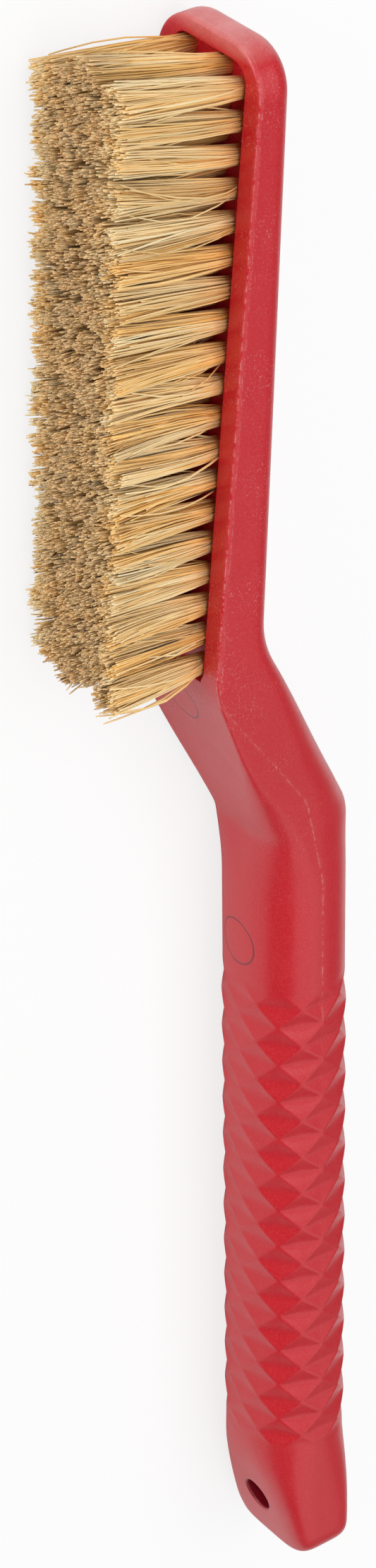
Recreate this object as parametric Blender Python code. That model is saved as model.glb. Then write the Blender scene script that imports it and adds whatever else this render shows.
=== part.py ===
"""Climbing brush: a one-piece moulded handle with an offset head, and bristle tufts set in pairs in its face.

The brush lies on its side. x runs along it, from the head's tip at -x to the hanging hole at +x,
the bristles point to -y, and z runs across the width. Lengths are metres.
"""
import math
import random

import bmesh
import bpy
import numpy as np
from mathutils import Matrix, Vector

MM = 0.001

# Head: its face and back are flat and lean towards each other up to the tip
HEAD_LENGTH = 87.3 * MM
HEAD_WIDTH = 21.2 * MM
HEAD_BASE_DEPTH = 8.7 * MM
HEAD_TIP_DEPTH = 5.4 * MM
HEAD_OFFSET = 19.3 * MM
FACE_LEAN = math.radians(4.9)
TIP_CORNER_RADIUS = 6.5 * MM
FACE_EDGE_RADIUS = 0.7 * MM
BACK_EDGE_RADIUS = 2.6 * MM
FACE_STRAIGHT_END = 2.4 * MM
BACK_STRAIGHT_END = -1.8 * MM
PARTING_STRAIGHT_END = 3.2 * MM

# Recess in the head's face, inside a raised rim
RIM_WIDTH = 3.0 * MM
RIM_TIP_WIDTH = 2.3 * MM
RECESS_DEPTH = 1.5 * MM
RECESS_CORNER_RADIUS = 2.8 * MM
RECESS_FOOT = 2.6 * MM

# Handle, and the neck that leads to it
HANDLE_WIDTH = 17.6 * MM
HANDLE_DEPTH = 15.3 * MM
HANDLE_REACH = 164.4 * MM
HANDLE_SWAY = 0.4 * MM
SECTION_POWER = 2.35
NECK_FRONT_END = 33.2 * MM
NECK_BACK_END = 32.1 * MM
PARTING_KNEE = 26.6 * MM
PARTING_KNEE_FORWARD = 2.9 * MM
PARTING_LEVEL_FROM = 41.0 * MM
NECK_ROUND_END = 42.0 * MM
FRONT_HEAD_BEND = 4.0 * MM
FRONT_NECK_BEND = 1.2 * MM
BACK_HEAD_BEND = 4.0 * MM
BACK_NECK_BEND = 1.6 * MM
PARTING_BEND = 1.5 * MM

# Handle's end, which thins towards a flat end face
TAPER_LENGTH = 19.6 * MM
TAPER_BEND = 4.0 * MM
END_DEPTH = 9.1 * MM
END_BACK_INSET = 1.1 * MM
END_CORNER_RADIUS = 4.4 * MM
END_EDGE_RADIUS = 1.8 * MM
HANGING_HOLE_DIAMETER = 5.4 * MM
HANGING_HOLE_FROM_END = 9.4 * MM

# Grip of dimpled diamonds between raised ridges, in lines round the handle and rows along it
GRIP_START = 58.7 * MM
GRIP_PITCH = 6.44 * MM
GRIP_ROWS = 13
GRIP_DIMPLE_DEPTH = 0.6 * MM
GRIP_PROUD = 0.2 * MM
GRIP_FADE_ROWS = 1.0
DIMPLE_POWER = 1.8

# Tufts: staggered columns along the head, joined in pairs by the slice of backing at their roots
TUFT_COLUMNS = 4
TUFTS_PER_COLUMN = 19
LAST_TUFT_GAP = 0.4 * MM
TUFT_STAGGER = 1.75 * MM
COLUMN_SPACING = 3.7 * MM
PLUG_RADIUS = 1.35 * MM
PLUG_DEPTH = 2.0 * MM
SEAT_GAP = 0.3 * MM
BRISTLE_AT_BASE = 15.5 * MM
BRISTLE_AT_TIP = 20.4 * MM
TIP_SHIFT = 0.5 * MM
LOCK_RING_RADIUS = 0.92 * MM
LOCK_ROOT_RADIUS = 0.36 * MM
LOCK_TIP_RADIUS = 0.66 * MM
LOCK_SINK = 0.4 * MM
LOCK_UNEVEN = 0.5 * MM
LOCKS_ROUND = 5

# Shares: how far the tips spread for each unit at the roots, along the head, across it and in a tuft
SPREAD_ALONG_SHARE = 1.04
SPREAD_ACROSS_SHARE = 1.23
SPREAD_IN_TUFT_SHARE = 1.75

# Mesh steps and the overrun of every cut
CORNER_STEPS = 8
ARC_STEPS = 6
NECK_STEPS = 11
SHOULDER_STEPS = 3
TAPER_STEPS = 5
HOLE_SIDES = 24
PLUG_END_STEPS = 4
LOCK_SIDES = 3
CUT_OVERRUN = 4.0 * MM

RING = 4 * CORNER_STEPS
GRIP_LENGTH = GRIP_ROWS * GRIP_PITCH
TAPER_START = HANDLE_REACH - TAPER_LENGTH
RECESS_TOP = HEAD_LENGTH / math.cos(FACE_LEAN) - RIM_TIP_WIDTH
TUFT_PITCH = (RECESS_TOP - LAST_TUFT_GAP - SEAT_GAP - PLUG_RADIUS - TUFT_STAGGER) / (TUFTS_PER_COLUMN - 1)
FACE_AXIS = Vector((-math.cos(FACE_LEAN), math.sin(FACE_LEAN), 0.0))
FACE_NORMAL = Vector((-math.sin(FACE_LEAN), -math.cos(FACE_LEAN), 0.0))
FACE_FRAME = Matrix.Translation((0.0, -HEAD_OFFSET, 0.0)) @ Matrix(
    (FACE_AXIS, Vector((0.0, 0.0, 1.0)), FACE_NORMAL)).transposed().to_4x4()


def clear_scene():
    """Removes what the startup scene holds."""
    for item in list(bpy.data.objects):
        bpy.data.objects.remove(item, do_unlink=True)


def material(name, colour, roughness):
    """A Principled material with one colour."""
    made = bpy.data.materials.new(name)
    made.use_nodes = True
    shader = made.node_tree.nodes["Principled BSDF"]
    shader.inputs["Base Color"].default_value = (*colour, 1.0)
    shader.inputs["Roughness"].default_value = roughness
    shader.inputs["Metallic"].default_value = 0.0
    return made


def collection(name):
    """A new collection in the scene."""
    made = bpy.data.collections.new(name)
    bpy.context.scene.collection.children.link(made)
    return made


def add_object(name, shape, home, finish=None, frame=None):
    """Turns a bmesh into a named object of the given collection and frees the bmesh."""
    mesh = bpy.data.meshes.new(name)
    bmesh.ops.recalc_face_normals(shape, faces=shape.faces)
    shape.to_mesh(mesh)
    shape.free()
    made = bpy.data.objects.new(name, mesh)
    if frame is not None:
        made.matrix_world = frame
    if finish is not None:
        mesh.materials.append(finish)
    home.objects.link(made)
    return made


def add_cutter(name, shape, home, frame=None):
    """An object that only shapes others: drawn as wire and left out of renders."""
    made = add_object(name, shape, home, frame=frame)
    made.display_type = "WIRE"
    made.hide_render = True
    return made


def add_boolean(target, operand, operation):
    """A Boolean modifier with the exact solver."""
    step = target.modifiers.new(operand.name, "BOOLEAN")
    step.operation = operation
    step.solver = "EXACT"
    step.object = operand


def bent_line(x, corners, bends):
    """Height at x of a line through corners, whose inner corners are eased by parabolas of half length bends."""
    xs, ys = (np.array(side, float) for side in zip(*corners))
    height = np.interp(x, xs, ys)
    slopes = np.diff(ys) / np.diff(xs)
    for place, before, after, bend in zip(xs[1:-1], slopes[:-1], slopes[1:], bends):
        near = np.clip(bend - np.abs(x - place), 0.0, None)
        height = height + (after - before) * near ** 2 / (4.0 * bend)
    return height


def eased(share):
    """Smooth step from 0 to 1."""
    share = np.clip(share, 0.0, 1.0)
    return share * share * (3.0 - 2.0 * share)


def rounded_end(distance, radius):
    """How far a rounded end draws in at a distance from the end: radius at the end, 0 from radius on."""
    inside = np.clip(radius - distance, 0.0, radius)
    return radius - np.sqrt(radius ** 2 - inside ** 2)


def sway(x):
    """The handle's axis drifts back slowly towards its end."""
    return HANDLE_SWAY * eased((x - NECK_BACK_END) / (TAPER_START - NECK_BACK_END))


def front_line(x):
    """y of the face of the head, the neck's front and the handle's front."""
    slope = math.tan(FACE_LEAN)
    tip = (-HEAD_LENGTH, -HEAD_OFFSET + HEAD_LENGTH * slope)
    base = (FACE_STRAIGHT_END, -HEAD_OFFSET - FACE_STRAIGHT_END * slope)
    neck = (NECK_FRONT_END, -HANDLE_DEPTH / 2)
    taper = (TAPER_START, -HANDLE_DEPTH / 2)
    end = (HANDLE_REACH, HANDLE_DEPTH / 2 - END_BACK_INSET - END_DEPTH)
    bends = (FRONT_HEAD_BEND, FRONT_NECK_BEND, TAPER_BEND)
    line = bent_line(x, (tip, base, neck, taper, end), bends) + sway(x)
    return line + rounded_end(x + HEAD_LENGTH, FACE_EDGE_RADIUS) + rounded_end(HANDLE_REACH - x, END_EDGE_RADIUS)


def back_line(x):
    """y of the back of the head, the neck and the handle."""
    slope = math.tan(FACE_LEAN) - (HEAD_BASE_DEPTH - HEAD_TIP_DEPTH) / HEAD_LENGTH
    base_y = -HEAD_OFFSET + HEAD_BASE_DEPTH
    tip = (-HEAD_LENGTH, base_y + HEAD_LENGTH * slope)
    base = (BACK_STRAIGHT_END, base_y - BACK_STRAIGHT_END * slope)
    neck = (NECK_BACK_END, HANDLE_DEPTH / 2)
    taper = (TAPER_START, HANDLE_DEPTH / 2)
    end = (HANDLE_REACH, HANDLE_DEPTH / 2 - END_BACK_INSET)
    bends = (BACK_HEAD_BEND, BACK_NECK_BEND, TAPER_BEND)
    line = bent_line(x, (tip, base, neck, taper, end), bends) + sway(x)
    return line - rounded_end(x + HEAD_LENGTH, BACK_EDGE_RADIUS) - rounded_end(HANDLE_REACH - x, END_EDGE_RADIUS)


def parting_line(x):
    """y of the mould's parting line: the rim's outer edge, then down the neck to the middle of the handle's side."""
    slope = math.tan(FACE_LEAN)
    edge_y = -HEAD_OFFSET + FACE_EDGE_RADIUS
    tip = (-HEAD_LENGTH, edge_y + HEAD_LENGTH * slope)
    base = (PARTING_STRAIGHT_END, edge_y - PARTING_STRAIGHT_END * slope)
    knee = (PARTING_KNEE, -PARTING_KNEE_FORWARD)
    level = (PARTING_LEVEL_FROM, 0.0)
    taper = (TAPER_START, 0.0)
    end = (HANDLE_REACH, HANDLE_DEPTH / 2 - END_BACK_INSET - END_DEPTH / 2)
    bends = (FACE_EDGE_RADIUS, PARTING_BEND, PARTING_BEND, TAPER_BEND)
    line = bent_line(x, (tip, base, knee, level, taper, end), bends) + sway(x)
    at_tip = front_line(x) + FACE_EDGE_RADIUS
    return np.where(x < -HEAD_LENGTH + BACK_EDGE_RADIUS, at_tip, line)


def half_width(x):
    """Half the width, rounded at the head's tip and at the handle's end."""
    share = eased(x / NECK_BACK_END)
    width = HEAD_WIDTH / 2 + (HANDLE_WIDTH - HEAD_WIDTH) / 2 * share
    width = width - rounded_end(x + HEAD_LENGTH, TIP_CORNER_RADIUS)
    return width - rounded_end(HANDLE_REACH - x, END_CORNER_RADIUS)


def even_angles():
    """Angles that space the points of a quarter of the handle's section evenly along its curve."""
    fine = np.linspace(0.0, math.pi / 2, 721)
    across = HANDLE_WIDTH / 2 * np.sin(fine) ** (2 / SECTION_POWER)
    along = HANDLE_DEPTH / 2 * np.cos(fine) ** (2 / SECTION_POWER)
    length = np.concatenate([[0.0], np.cumsum(np.hypot(np.diff(across), np.diff(along)))])
    return np.interp(np.linspace(0.0, length[-1], CORNER_STEPS + 1), length, fine)


EVEN_ANGLES = even_angles()


def quarter(width, depth, radius, fullness):
    """Quarter section from the middle of its flat to its side: a corner radius that grows into the whole quarter."""
    steps = np.arange(1, CORNER_STEPS)
    corner = (steps - 1) / (CORNER_STEPS - 2) * math.pi / 2
    angle = corner + (EVEN_ANGLES[1:-1] - corner) * fullness
    power = 2 / (2 + (SECTION_POWER - 2) * fullness)
    across = radius + (width - radius) * fullness
    along = min(radius, depth) + (depth - min(radius, depth)) * fullness
    out = width - across + across * np.sin(angle) ** power
    forward = depth - along + along * np.cos(angle) ** power
    return np.concatenate([[0.0], out]), np.concatenate([[depth], forward])


def relief(line, row):
    """Share of the dimple's depth: 0 along the ridges between the diamonds and 1 in a diamond's middle."""
    climbing = np.abs(2.0 * np.mod(row + line / 2, 1.0) - 1.0) ** DIMPLE_POWER
    falling = np.abs(2.0 * np.mod(row - line / 2, 1.0) - 1.0) ** DIMPLE_POWER
    return (1.0 - climbing) * (1.0 - falling)


def grip_share(x):
    """How strongly the grip's pattern shows at x."""
    row = (x - GRIP_START) / GRIP_PITCH
    return eased(row / GRIP_FADE_ROWS) * eased((GRIP_ROWS - row) / GRIP_FADE_ROWS)


def section(x):
    """Ring of points (y, z) round the section at x, from the middle of the front towards +z."""
    front, back, parting, width = front_line(x), back_line(x), parting_line(x), half_width(x)
    fullness = float(eased(x / NECK_ROUND_END))
    out_front, y_front = quarter(width, parting - front, FACE_EDGE_RADIUS, fullness)
    out_back, y_back = quarter(width, back - parting, min(BACK_EDGE_RADIUS, width), fullness)
    side = np.concatenate([out_front, [width], out_back[:0:-1]])
    depth = np.concatenate([-y_front, [0.0], y_back[:0:-1]])
    z = np.concatenate([side, [0.0], -side[:0:-1]])
    y = np.concatenate([depth, [y_back[0]], depth[:0:-1]])
    line = np.arange(RING) * 0.5
    cut = GRIP_DIMPLE_DEPTH * relief(line, (x - GRIP_START) / GRIP_PITCH) - GRIP_PROUD
    shrink = 1.0 - float(grip_share(x)) * cut / np.hypot(y, z)
    return np.stack([np.full(RING, x), parting + y * shrink, z * shrink], 1)


def stations():
    """Places along x at which the handle's section is set out."""
    quarter_turn = np.linspace(0.0, math.pi / 2, ARC_STEPS + 1)
    tip = -HEAD_LENGTH + TIP_CORNER_RADIUS * (1.0 - np.sin(quarter_turn[::-1]))
    tip_edge = -HEAD_LENGTH + FACE_EDGE_RADIUS * np.array([0.3, 1.0])
    neck = np.linspace(BACK_STRAIGHT_END - BACK_HEAD_BEND, NECK_BACK_END - BACK_NECK_BEND, NECK_STEPS + 1)
    shoulder = np.linspace(NECK_FRONT_END + FRONT_NECK_BEND, NECK_ROUND_END, SHOULDER_STEPS + 1)
    grip = GRIP_START + GRIP_PITCH / 4 * np.arange(4 * GRIP_ROWS + 1)
    taper = np.linspace(GRIP_START + GRIP_LENGTH, HANDLE_REACH - END_CORNER_RADIUS, TAPER_STEPS + 1)[1:]
    end = HANDLE_REACH - END_CORNER_RADIUS * (1.0 - np.sin(quarter_turn))[1:]
    places = np.concatenate([tip, tip_edge, neck, [NECK_BACK_END, NECK_FRONT_END], shoulder, grip, taper, end])
    places = np.unique(np.round(places / (MM / 100)) * (MM / 100))
    return places


def handle_body():
    """The moulding as one loft: triangles between rings, split along the grip's ridges, and two flat ends."""
    shape = bmesh.new()
    places = stations()
    start = int(np.argmin(np.abs(places - GRIP_START)))
    rings = [[shape.verts.new(point) for point in section(x)] for x in places]
    for row, (low, high) in enumerate(zip(rings[:-1], rings[1:])):
        for j in range(RING):
            k = (j + 1) % RING
            if (row - start - j) % 2 == 0:
                shape.faces.new((low[j], low[k], high[k]))
                shape.faces.new((low[j], high[k], high[j]))
            else:
                shape.faces.new((low[j], low[k], high[j]))
                shape.faces.new((low[k], high[k], high[j]))
    shape.faces.new(rings[0])
    shape.faces.new(rings[-1])
    return shape


def prism(outline, bottom, top, shape=None):
    """A straight prism on an outline of (along, across) points, added to shape where one is given."""
    shape = shape or bmesh.new()
    base = shape.faces.new([shape.verts.new((u, w, bottom)) for u, w in outline])
    grown = bmesh.ops.extrude_face_region(shape, geom=[base])["geom"]
    corners = [item for item in grown if isinstance(item, bmesh.types.BMVert)]
    bmesh.ops.translate(shape, verts=corners, vec=(0.0, 0.0, top - bottom))
    return shape


def arc(centre, radius, start, end, steps):
    """Points on an arc."""
    angles = np.linspace(start, end, steps + 1)
    return [(centre[0] + radius * math.cos(a), centre[1] + radius * math.sin(a)) for a in angles]


def recess_outline():
    """Outline of the recess: the head's outline drawn in by the rim's width, with rounded corners."""
    radius = RECESS_CORNER_RADIUS
    low, high = radius - RECESS_FOOT, RECESS_TOP - radius
    side = HEAD_WIDTH / 2 - RIM_WIDTH - radius
    outline = []
    for turn, centre in enumerate(((high, side), (low, side), (low, -side), (high, -side))):
        outline += arc(centre, radius, turn * math.pi / 2, (turn + 1) * math.pi / 2, ARC_STEPS)
    return outline


def pair_outline(first, second, radius):
    """A slot shape round two tuft places."""
    heading = math.atan2(second[1] - first[1], second[0] - first[0])
    outline = arc(second, radius, heading - math.pi / 2, heading + math.pi / 2, PLUG_END_STEPS)
    outline += arc(first, radius, heading + math.pi / 2, heading + math.pi * 1.5, PLUG_END_STEPS)
    return outline


def tuft_place(column, row):
    """Root of a tuft on the head's face (along, across): every second column sits further up."""
    shift = TUFT_STAGGER if column % 2 else 0.0
    return row * TUFT_PITCH + shift, ((TUFT_COLUMNS - 1) / 2 - column) * COLUMN_SPACING


def tip_height(along):
    """Height of the bristles' tips over the rim."""
    top = (TUFTS_PER_COLUMN - 1) * TUFT_PITCH * SPREAD_ALONG_SHARE
    return BRISTLE_AT_BASE + (BRISTLE_AT_TIP - BRISTLE_AT_BASE) * along / top


def add_lock(shape, root, tip, root_radius, tip_radius, turn):
    """One tapered lock of bristle from root to tip."""
    run = tip - root
    frame = Matrix.Translation((root + tip) / 2) @ run.to_track_quat("Z", "Y").to_matrix().to_4x4()
    bmesh.ops.create_cone(shape, cap_ends=True, segments=LOCK_SIDES, radius1=root_radius, radius2=tip_radius,
                          depth=run.length, matrix=frame @ Matrix.Rotation(turn, 4, "Z"))


def tuft_locks(shape, place, chance):
    """The locks of one tuft: one in its middle and a ring round it, fanning out to their tips."""
    along, across = place
    start = chance.uniform(0.0, math.pi)
    offsets = [(0.0, 0.0)] + [(LOCK_RING_RADIUS * math.cos(start + 2 * math.pi * i / LOCKS_ROUND),
                               LOCK_RING_RADIUS * math.sin(start + 2 * math.pi * i / LOCKS_ROUND))
                              for i in range(LOCKS_ROUND)]
    for du, dw in offsets:
        root = Vector((along + du, across + dw, -RECESS_DEPTH - LOCK_SINK))
        tip_u = along * SPREAD_ALONG_SHARE + TIP_SHIFT + du * SPREAD_IN_TUFT_SHARE
        tip_w = across * SPREAD_ACROSS_SHARE + dw * SPREAD_IN_TUFT_SHARE
        uneven = chance.uniform(-LOCK_UNEVEN, LOCK_UNEVEN)
        tip = Vector((tip_u, tip_w, tip_height(tip_u) + uneven))
        add_lock(shape, root, tip, LOCK_ROOT_RADIUS, LOCK_TIP_RADIUS, math.atan2(dw, du))


def build_tufts(parts, cutters, finish):
    """A node for each pair of tufts, and the cutter of their pockets."""
    chance = random.Random(19)
    pockets = bmesh.new()
    tufts = []
    for side, first_column in (("a", 0), ("b", 2)):
        for row in range(TUFTS_PER_COLUMN):
            ends = [tuft_place(first_column + i, row) for i in range(2)]
            name = f"tuft_pair_{side}_{row + 1:02d}"
            floor = -RECESS_DEPTH
            plug = prism(pair_outline(*ends, PLUG_RADIUS), floor - PLUG_DEPTH, floor)
            tuft = add_object(name, plug, parts, finish, FACE_FRAME)
            locks = bmesh.new()
            for place in ends:
                tuft_locks(locks, place, chance)
            add_boolean(tuft, add_cutter(name + "_locks", locks, cutters, FACE_FRAME), "UNION")
            prism(pair_outline(*ends, PLUG_RADIUS + SEAT_GAP), floor - PLUG_DEPTH - SEAT_GAP,
                  floor + RECESS_DEPTH / 2, pockets)
            tufts.append(tuft)
    return tufts, add_cutter("tuft_pockets", pockets, cutters, FACE_FRAME)


def build_handle(parts, cutters, pockets, finish):
    """The moulded handle with its recess, tuft pockets and hanging hole."""
    handle = add_object("handle", handle_body(), parts, finish)
    recess = prism(recess_outline(), -RECESS_DEPTH, CUT_OVERRUN)
    add_boolean(handle, add_cutter("recess", recess, cutters, FACE_FRAME), "DIFFERENCE")
    add_boolean(handle, pockets, "DIFFERENCE")
    hole = bmesh.new()
    centre = (HANDLE_REACH - HANGING_HOLE_FROM_END, HANDLE_DEPTH / 2 - END_DEPTH / 2, 0.0)
    frame = Matrix.Translation(centre) @ Matrix.Rotation(math.pi / 2, 4, "X")
    bmesh.ops.create_cone(hole, cap_ends=True, segments=HOLE_SIDES, radius1=HANGING_HOLE_DIAMETER / 2,
                          radius2=HANGING_HOLE_DIAMETER / 2, depth=HANDLE_DEPTH + 2 * CUT_OVERRUN, matrix=frame)
    add_boolean(handle, add_cutter("hanging_hole", hole, cutters), "DIFFERENCE")
    return handle


def settle_origin(objects):
    """Puts the world's origin under the middle of the part's box, by moving the empty that carries the part."""
    bpy.context.view_layer.update()
    graph = bpy.context.evaluated_depsgraph_get()
    points = np.concatenate([
        np.array([item.matrix_world @ vertex.co for vertex in item.evaluated_get(graph).data.vertices])
        for item in objects])
    low, high = points.min(0), points.max(0)
    carrier = bpy.data.objects.new("brush", None)
    bpy.context.scene.collection.objects.link(carrier)
    for item in bpy.data.objects:
        if item is not carrier:
            item.parent = carrier
    carrier.location = (-(low[0] + high[0]) / 2, -(low[1] + high[1]) / 2, -low[2])
    bpy.context.view_layer.update()
    print("box", np.round((high - low) / MM, 2), "origin shift", np.round(np.array(carrier.location) / MM, 3))


def main():
    clear_scene()
    parts, cutters = collection("climbing_brush"), collection("cutters")
    red = material("red_plastic", (0.56, 0.03, 0.06), 0.38)
    boar = material("boar_bristle", (0.78, 0.55, 0.28), 0.55)
    tufts, pockets = build_tufts(parts, cutters, boar)
    handle = build_handle(parts, cutters, pockets, red)
    settle_origin([handle] + tufts)


if __name__ == "__main__":
    main()
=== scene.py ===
"""Climbing brush dressed for a render.

It has a moulded plastic handle with a diamond grip, and tufts of boar bristle in its offset head.

Lengths are metres in the part's frame: x runs along the brush from the head's tip to the hanging hole,
the bristles point to -y and z goes across the width. The shapes are worked out in the moulding's own
frame, whose x is 0 at the lowest tuft and whose y and z are 0 on the handle's axis, and SHIFT moves them.
"""
import math

import bmesh
import bpy
import numpy as np
from mathutils import Matrix, Vector


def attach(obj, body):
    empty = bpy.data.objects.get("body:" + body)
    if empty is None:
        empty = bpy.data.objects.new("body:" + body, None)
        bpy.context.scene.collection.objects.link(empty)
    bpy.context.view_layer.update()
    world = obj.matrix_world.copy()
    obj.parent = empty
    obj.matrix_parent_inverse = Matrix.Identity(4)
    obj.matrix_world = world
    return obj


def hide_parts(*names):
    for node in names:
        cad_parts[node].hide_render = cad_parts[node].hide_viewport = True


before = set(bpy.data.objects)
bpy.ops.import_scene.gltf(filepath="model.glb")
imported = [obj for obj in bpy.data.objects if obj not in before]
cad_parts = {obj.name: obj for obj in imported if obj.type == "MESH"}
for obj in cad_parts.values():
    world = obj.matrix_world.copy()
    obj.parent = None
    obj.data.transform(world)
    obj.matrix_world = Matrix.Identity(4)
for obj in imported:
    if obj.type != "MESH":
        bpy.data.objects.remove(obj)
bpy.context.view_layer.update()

bl_info = {
    "name": "Climbing brush",
    "version": (1, 0, 0),
    "blender": (4, 5, 0),
    "location": "View3D > Sidebar > Brush",
    "description": "Builds a climbing brush with its moulded handle, bristle tufts and studio stage",
    "category": "Object",
}

MM = 0.001
SHIFT = np.array([-36.889, 13.522, 10.6]) * MM

# Head and neck. A bend is how far its parabola reaches to either side of a corner. A round is where along x
# the section's corner grows from a small one to the whole quarter
HEAD_OFFSET = 19.3 * MM
FACE_LEAN = math.radians(4.9)
TIP_CORNER_RADIUS = 6.5 * MM
FACE_EDGE_RADIUS = 0.5 * MM
BACK_EDGE_RADIUS = 2.6 * MM
FACE_STRAIGHT_END = 2.4 * MM
BACK_STRAIGHT_END = -1.8 * MM
PARTING_STRAIGHT_END = 3.2 * MM
RIM_TIP_WIDTH = 2.3 * MM
RECESS_CORNER_RADIUS = 2.8 * MM
RECESS_FOOT = 2.6 * MM
RECESS_WALL = 0.55 * MM
WALL_TO_EDGE = 0.5 * MM
NECK_FRONT_END = 33.2 * MM
NECK_BACK_END = 32.1 * MM
NECK_FRONT_ROUND = (12.0 * MM, 45.0 * MM)
NECK_BACK_ROUND = (0.0, 42.0 * MM)
PARTING_KNEE = (26.6 * MM, -2.9 * MM)
PARTING_LEVEL_FROM = 41.0 * MM
BEND_FRONT_HEAD = 4.0 * MM
BEND_FRONT_NECK = 1.2 * MM
BEND_BACK_HEAD = 4.0 * MM
BEND_BACK_NECK = 1.6 * MM
BEND_PARTING = 1.5 * MM

# Handle and its end. A power of 2 makes a section elliptic, and a higher one makes it boxier
HANDLE_REACH = 164.4 * MM
HANDLE_SWAY = 0.4 * MM
SECTION_POWER = 2.35
END_SECTION_POWER = 4.6
TAPER_START = 144.8 * MM
TAPER_BEND = 4.0 * MM
END_DEPTH = 9.1 * MM
END_BACK_INSET = 1.1 * MM
END_CORNER_RADIUS = 4.4 * MM
END_EDGE_RADIUS = 1.8 * MM
HOLE_FROM_END = 9.4 * MM
HOLE_EDGE = 0.45 * MM
CUT_OVERRUN = 3 * MM
CREASE_ANGLE = math.radians(50)

# Grip, whose ridges stand proud, and the rings that ejector pins left
GRIP_START = 58.3 * MM
GRIP_PITCH = 6.44 * MM
GRIP_ROWS = 13
GRIP_PROUD = 0.2 * MM
GRIP_FADE_ROWS = 0.55
FOLD_SOFTNESS = 0.2
LEAST_FOLD = 0.001
RIDGE_STRAIGHTNESS = 0.45
PIN_PLACES = (8.9 * MM, 52.9 * MM)
PIN_ASIDE = -0.6 * MM
PIN_RADIUS = 3.5 * MM

# Tufts, and how their tips spread for each unit at the roots
COLUMNS = 4
ROWS = 19
SEED = 76
TIP_SHIFT = 0.5 * MM
TOP_DRAWN_BACK = 3.2 * MM
TOP_POWER = 12
SPREAD_ALONG = 1.04
SPREAD_ACROSS = 1.23
SPREAD_IN_TUFT = 2.05
SPREAD_LIMIT = 10.2 * MM
TUFT_LEAN = (0.42 * MM, 0.28 * MM)

# Hairs: their roots and tips, the locks that draw them together, and their bows
GOLDEN_ANGLE = 2.399963
FIRST_TURN = 6.28
ROOT_SCATTER = 0.035 * MM
TIP_SCATTER = 0.26 * MM
TIP_REACH = 2.6 * MM
LOCKS = 11
LOCK_SCATTER = 0.95 * MM
LOCK_SPREAD = 0.8
LOCK_PULL = (0.1, 0.62)
STRAY_REACH = (1.1 * MM, 0.6 * MM)
HEIGHT_SCATTER = 0.32 * MM
LOCK_HEIGHT_SCATTER = 0.30 * MM
SHORT_SHARE = 0.14
SHORT_BY = 1.2 * MM
LEAST_HEIGHT = 9.0 * MM
LEAN_POWER = 1.12
HAIR_BOW = 0.15 * MM
LOCK_BOW = 0.20 * MM
STRAY_BOW = 4.0
HAIR_WAVE = 0.05 * MM
HAIR_THICKNESS = (0.75, 1.25)
HAIR_TAPER = (1.08, 0.78)

# Colours of the hairs: the beta spreads of hairs and locks from pale to golden, shares of the hairs, least
# and greatest factors on their colour, the painted shade towards the roots, and where along a hair it turns
# grey, with painted shade on the sides by the tips
HAIR_MIX = (0.9, 0.9)
LOCK_MIX = (0.8, 0.8)
LOCK_SHARE = 0.6
BROWN_SHARE = 0.06
BLACK_FROM = 0.993
HAIR_TONES = (0.94, 1.12)
LOCK_TONES = (0.86, 1.12)
PAINTED_ROOT_SHADE = np.array([0.94, 0.70, 0.48])
ROOT_SHADE_LIFT = np.array([0.06, 0.30, 0.52])
ROOT_SHADE_RISE = 2.4
GREY_HALF_WIDTH = 8.5 * MM
GREY_FROM = 0.62
GREY_RUN = 0.3
GREY_AT_END = 0.85
PAINTED_SHADE_ON_SIDES = 0.6
END_TONES = (0.35, 1.8)
CUT_TONE = 1.5

# Mesh steps round the section: a quarter, and at which of its steps each run of the outline ends
QUARTER = 32
RING = 4 * QUARTER
LINE_STEPS = QUARTER // 4
FRONT_RUNS = (0, 6, 16, 20, 29, 32)
BACK_RUNS = (0, 10, 26, 32)
WALL_INSIDE = 0.7 * MM
WALL_OUTSIDE = 0.1 * MM
FLAT_SAMPLES = 80
CORNER_SAMPLES = 200
SIDE_SAMPLES = 20
LEAST_RISE = 1e-12
LEAST_RUN = 1e-9

# Mesh steps along the moulding, the hole and the hairs
FINE_STEP = 0.1 * MM
STEP = 0.2 * MM
COARSE_STEP = 0.3 * MM
FINE_RUN = 0.8 * MM
CORNER_RUN = 0.6 * MM
TIP_STEPS = 15
EDGE_STEPS = 7
HEAD_STEPS = 22
FOOT_STEPS = 12
NECK_STEPS = 76
HANDLE_STEPS = 9
ROW_STEPS = 16
TAPER_STEPS = 24
END_CORNER_STEPS = 12
END_EDGE_STEPS = 10
LEAST_STEP = 0.02 * MM
HOLE_EDGE_STEPS = 7
HOLE_SIDES = 64
HAIR_STEPS = (0.0, 0.22, 0.45, 0.68, 0.88, 0.97, 1.0)
HAIR_SIDES = 4
LEAST_RADIUS = MM / 1000
MERGE_DISTANCE = MM / 500

# Places on the plastic that its finish follows, with the run of the painted sheen at the head's tip
# and the reach of the painted shade round the hanging hole
FADE_RUN = 60.0 * MM
TIP_END = 124.2 * MM
PAINTED_TIP_SHEEN_RUN = 2.5 * MM
HOLE_REGION = 6.0 * MM
RING_LINE = 0.2 * MM
PLASTIC_RELIEF = 0.03 * MM

# Stage: each lamp's place and size, all facing the brush, and the floor
LAMPS = {"overhead": ((-0.45, 0.0, 1.15), (1.6, 1.4)),
         "back": ((0.68, 0.12, 0.98), (1.1, 0.9)),
         "front": ((-0.60, -0.75, 0.08), (0.8, 0.5))}
FLOOR_HALF = 4.0
FLOOR_DROP = 0.02 * MM

# Camera: where it stands and how it is turned, in the moulding's frame
EYE = np.array([-382.387, -376.325, 483.006]) * MM
RIGHT = (0.00724753, 0.79882198, 0.60152382)
UP = (-0.82963097, 0.34063078, -0.44236084)
BACK = (-0.5582651, -0.49583677, 0.66519619)
FOCAL_SHARE = 7673.663 / 2220.0
SENSOR = 36.0
CLIP_END = 20.0


def eased(share):
    """Smooth step: 3 s squared less 2 s cubed, held between 0 and 1."""
    share = np.clip(share, 0.0, 1.0)
    return share * share * (3.0 - 2.0 * share)


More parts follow.
